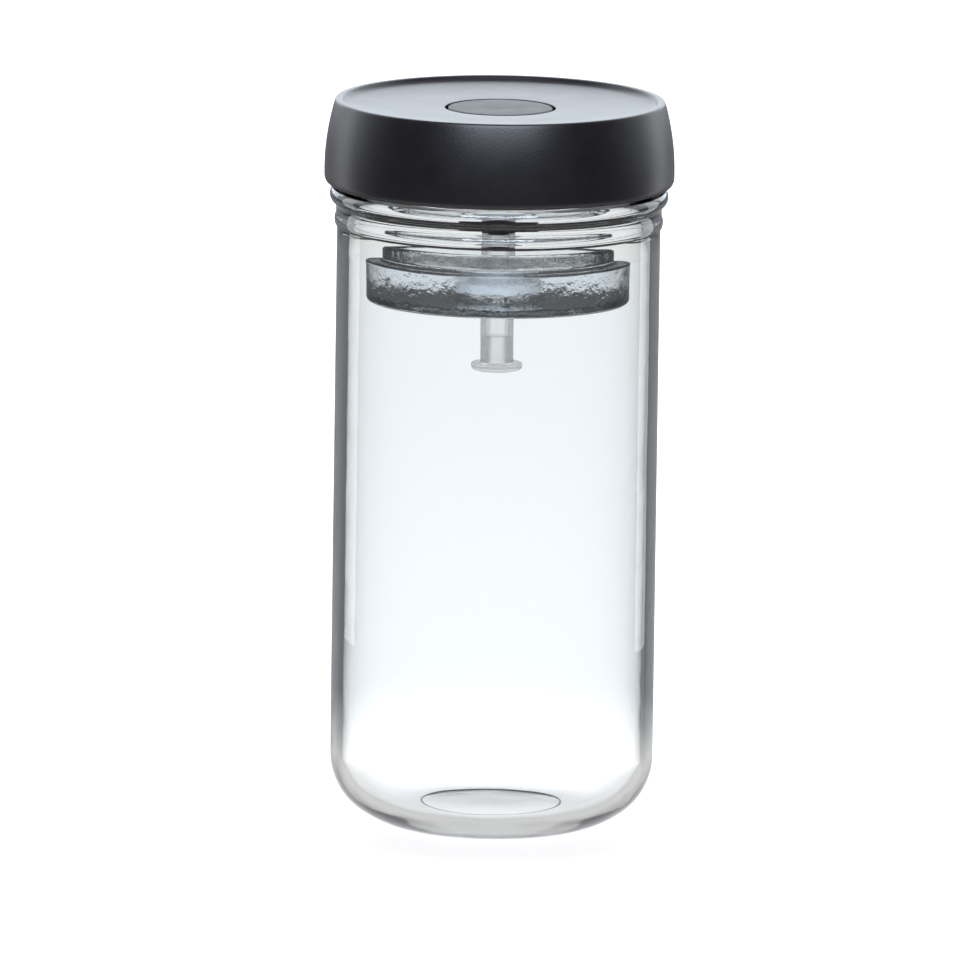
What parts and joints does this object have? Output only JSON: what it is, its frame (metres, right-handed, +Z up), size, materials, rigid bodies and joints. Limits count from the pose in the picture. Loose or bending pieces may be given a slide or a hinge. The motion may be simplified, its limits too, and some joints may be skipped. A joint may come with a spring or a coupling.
{
  "type": "fermentation jar",
  "caption": "Tall clear glass jar with a dark screw lid, a flush vent button and a thick glass press that hangs from the lid on a clear stem.",
  "frame": {"origin": "centre of the jar's flat base, on the surface that it stands on", "axes": "+Z up along the jar's axis; the object is turned about Z, and -Y is the side that the picture shows"},
  "size_m": [0.115, 0.115, 0.2417],
  "materials": {
    "clear_glass": "smooth, clear soda-lime glass",
    "charcoal_plastic": "fine matt moulded",
    "clear_plastic": "polished, clear",
    "silicone": "matt, translucent white",
    "stainless_steel": "drawn and stamped"
  },
  "bodies": {
    "jar": {"glass_jar": "clear_glass"},
    "hanger": {"stem_hanger": "charcoal_plastic", "press_stem": "clear_plastic", "stem_stop": "clear_plastic"},
    "lid": {"lid_shell": "charcoal_plastic", "thread_cap": "charcoal_plastic", "rim_gasket": "silicone", "flap_valve": "silicone", "spring_washer": "stainless_steel", "button_spring": "stainless_steel", "hanger_nut": "charcoal_plastic"},
    "vent": {"vent_button": "charcoal_plastic", "poppet_seal": "silicone", "poppet_screw": "stainless_steel"},
    "press": {"press_weight": "clear_glass", "grip_ring": "silicone", "grip_bush": "clear_plastic"}
  },
  "joints": [
    {"name": "lid_lift", "type": "slide", "parent": "jar", "child": "hanger", "axis": [0, 0, 1], "range_m": [0, 0.0841]},
    {"name": "lid_turn", "type": "hinge", "parent": "hanger", "child": "lid", "pos_m": [0, 0, 0.2324], "axis": [0, 0, 1], "range_deg": [0, 1260]},
    {"name": "vent_press", "type": "slide", "parent": "lid", "child": "vent", "axis": [0, 0, -1], "range_m": [0, 0.0018], "stiffness_N_per_m": 800, "springref_m": -0.002, "deforming": ["button_spring"]},
    {"name": "press_slide", "type": "slide", "parent": "hanger", "child": "press", "axis": [0, 0, -1], "range_m": [-0.0067, 0.021]}
  ],
  "couplings": [
    {"joint": "lid_lift", "follows": "lid_turn", "m_per_rad": 0.0038197}
  ]
}
